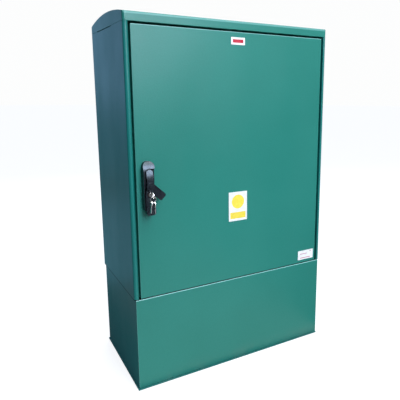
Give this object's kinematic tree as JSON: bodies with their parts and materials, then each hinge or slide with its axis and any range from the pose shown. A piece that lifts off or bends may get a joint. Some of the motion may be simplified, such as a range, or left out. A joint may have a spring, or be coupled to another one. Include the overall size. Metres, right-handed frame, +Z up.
{
  "type": "roadside utility cabinet",
  "caption": "Moulded roadside utility cabinet on a plinth, with an arched roof, a hinged door, a swing handle with its key, and two locking rods.",
  "frame": {"origin": "middle of the four ground bolts, on the underside of the plinth's foot", "axes": "+X to the right as seen from the front, -Y out of the door, +Z up"},
  "size_m": [0.764, 0.4515, 1.2385],
  "materials": {
    "cabinet_green": "glossy moulded fibreglass, fine orange peel",
    "side_green": "glossy moulded fibreglass",
    "floor_grey": "matt moulded plate",
    "board_tan": "matt laminate board",
    "rubber_black": "matt rubber",
    "plated_steel": "zinc plated steel",
    "cast_zinc": "cast zinc",
    "copper_bar": "bare copper",
    "insulator_white": "glazed insulator",
    "handle_black": "satin black plastic",
    "guide_black": "black plastic",
    "label_white": "printed plate",
    "label_red": "printed plate",
    "label_pale": "printed plate",
    "nickel": "nickel plated"
  },
  "bodies": {
    "cabinet": {"plinth_shell": "side_green", "plinth_front": "cabinet_green", "side_panel_left": "side_green", "side_panel_right": "side_green", "rear_panel": "cabinet_green", "roof": "cabinet_green", "top_rail": "cabinet_green", "sill_rail": "cabinet_green", "floor_plate": "floor_grey", "cable_grommets": "rubber_black", "door_seal": "rubber_black", "mounting_board": "board_tan", "board_standoffs": "plated_steel", "board_screws": "plated_steel", "device_rails": "plated_steel", "earth_bar": "copper_bar", "earth_posts": "insulator_white", "cable_rail": "plated_steel", "floor_bolts": "plated_steel", "roof_bolts": "plated_steel", "rear_bolts": "plated_steel", "frame_bolts": "plated_steel", "rod_keeper_top": "plated_steel", "rod_keeper_bottom": "plated_steel", "hinge_frame_leaf_1": "cast_zinc", "hinge_frame_leaf_2": "cast_zinc", "hinge_frame_leaf_3": "cast_zinc", "hinge_screws": "plated_steel"},
    "door": {"door_panel": "cabinet_green", "handle_housing": "handle_black", "housing_screws": "plated_steel", "lock_case": "plated_steel", "lock_case_screws": "plated_steel", "rod_guides": "guide_black", "middle_plate": "label_white", "upper_plate": "label_red", "corner_plate": "label_pale", "hinge_door_leaf_1": "cast_zinc", "hinge_door_leaf_2": "cast_zinc", "hinge_door_leaf_3": "cast_zinc", "hinge_pin_1": "plated_steel", "hinge_pin_2": "plated_steel", "hinge_pin_3": "plated_steel"},
    "spindle": {"lock_spindle": "cast_zinc", "lock_pinion": "cast_zinc"},
    "lever": {"lever": "handle_black", "lever_pin": "plated_steel", "lock_cylinder": "nickel", "cover_rivet": "handle_black"},
    "cover": {"key_cover": "handle_black"},
    "key": {"cylinder_plug": "nickel", "lock_key": "nickel"},
    "ring": {"key_ring": "nickel"},
    "spare_key_1": {"spare_key_1": "nickel"},
    "spare_key_2": {"spare_key_2": "nickel"},
    "upper_rod": {"upper_rod": "plated_steel"},
    "lower_rod": {"lower_rod": "plated_steel"}
  },
  "joints": [
    {"name": "door_hinge", "type": "hinge", "parent": "cabinet", "child": "door", "pos_m": [0.35, -0.186, 0.75625], "axis": [0, 0, 1], "range_deg": [0, 110]},
    {"name": "lever_turn", "type": "hinge", "parent": "door", "child": "spindle", "pos_m": [-0.325, -0.1955, 0.743], "axis": [0, -1, 0], "range_deg": [0, 90]},
    {"name": "lever_lift", "type": "hinge", "parent": "spindle", "child": "lever", "pos_m": [-0.325, -0.2125, 0.743], "axis": [-1, 0, 0], "range_deg": [0, 35]},
    {"name": "cover_swing", "type": "hinge", "parent": "lever", "child": "cover", "pos_m": [-0.325, -0.2253, 0.701], "axis": [0, -1, 0], "range_deg": [-4, 73]},
    {"name": "key_turn", "type": "hinge", "parent": "lever", "child": "key", "pos_m": [-0.325, -0.2245, 0.676], "axis": [0, 1, 0], "range_deg": [0, 90]},
    {"name": "ring_swing", "type": "hinge", "parent": "key", "child": "ring", "pos_m": [-0.325, -0.2465, 0.6737], "axis": [-1, 0, 0], "range_deg": [0, 70]},
    {"name": "spare_key_1_swing", "type": "hinge", "parent": "ring", "child": "spare_key_1", "pos_m": [-0.33169, -0.2465, 0.65868], "axis": [-1, 0, 0], "range_deg": [-10, 60]},
    {"name": "spare_key_2_swing", "type": "hinge", "parent": "ring", "child": "spare_key_2", "pos_m": [-0.32163, -0.2465, 0.65636], "axis": [-1, 0, 0], "range_deg": [-10, 60]},
    {"name": "upper_rod_slide", "type": "slide", "parent": "door", "child": "upper_rod", "axis": [0, 0, 1], "range_m": [-0.0158, 0]},
    {"name": "lower_rod_slide", "type": "slide", "parent": "door", "child": "lower_rod", "axis": [0, 0, 1], "range_m": [0, 0.0158]}
  ],
  "couplings": [
    {"joint": "upper_rod_slide", "follows": "lever_turn", "m_per_rad": -0.01},
    {"joint": "lower_rod_slide", "follows": "lever_turn", "m_per_rad": 0.01}
  ]
}
